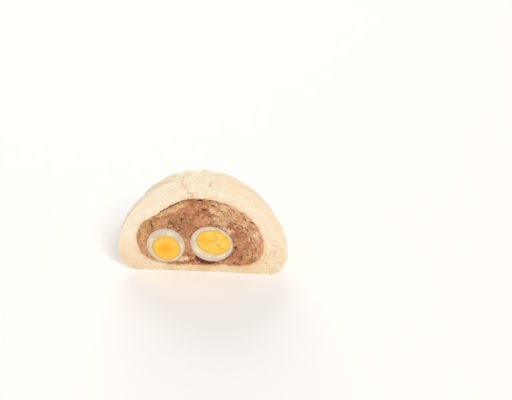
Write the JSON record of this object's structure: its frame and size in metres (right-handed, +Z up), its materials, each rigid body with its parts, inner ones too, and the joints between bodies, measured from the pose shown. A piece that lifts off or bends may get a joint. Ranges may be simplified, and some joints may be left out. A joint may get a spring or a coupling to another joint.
{
  "type": "steamed bun",
  "caption": "Half of a large pleated steamed bun, cut upright to show a pork filling with halved quail eggs; it rests on its flat foot.",
  "frame": {"origin": "under the middle of the half bun's box, on the surface it rests on", "axes": "+X along the cut face, to the right as one looks at it; +Y from the cut face to the pleated back; +Z up"},
  "size_m": [0.1096, 0.0559, 0.0703],
  "materials": {
    "steamed_dough": "soft satin steamed dough, fine open crumb where cut",
    "pork": "moist cooked pork in chunks and crumbs",
    "egg_white": "smooth, slightly glossy boiled egg white",
    "yolk": "fine crumbly boiled yolk",
    "cured_sausage": "dark moist cured sausage"
  },
  "bodies": {
    "root": {"dough": "steamed_dough", "filling": "pork", "egg_white_left": "egg_white", "egg_white_right": "egg_white", "yolk_left": "yolk", "yolk_right": "yolk", "sausage_sliver": "cured_sausage"}
  },
  "joints": []
}
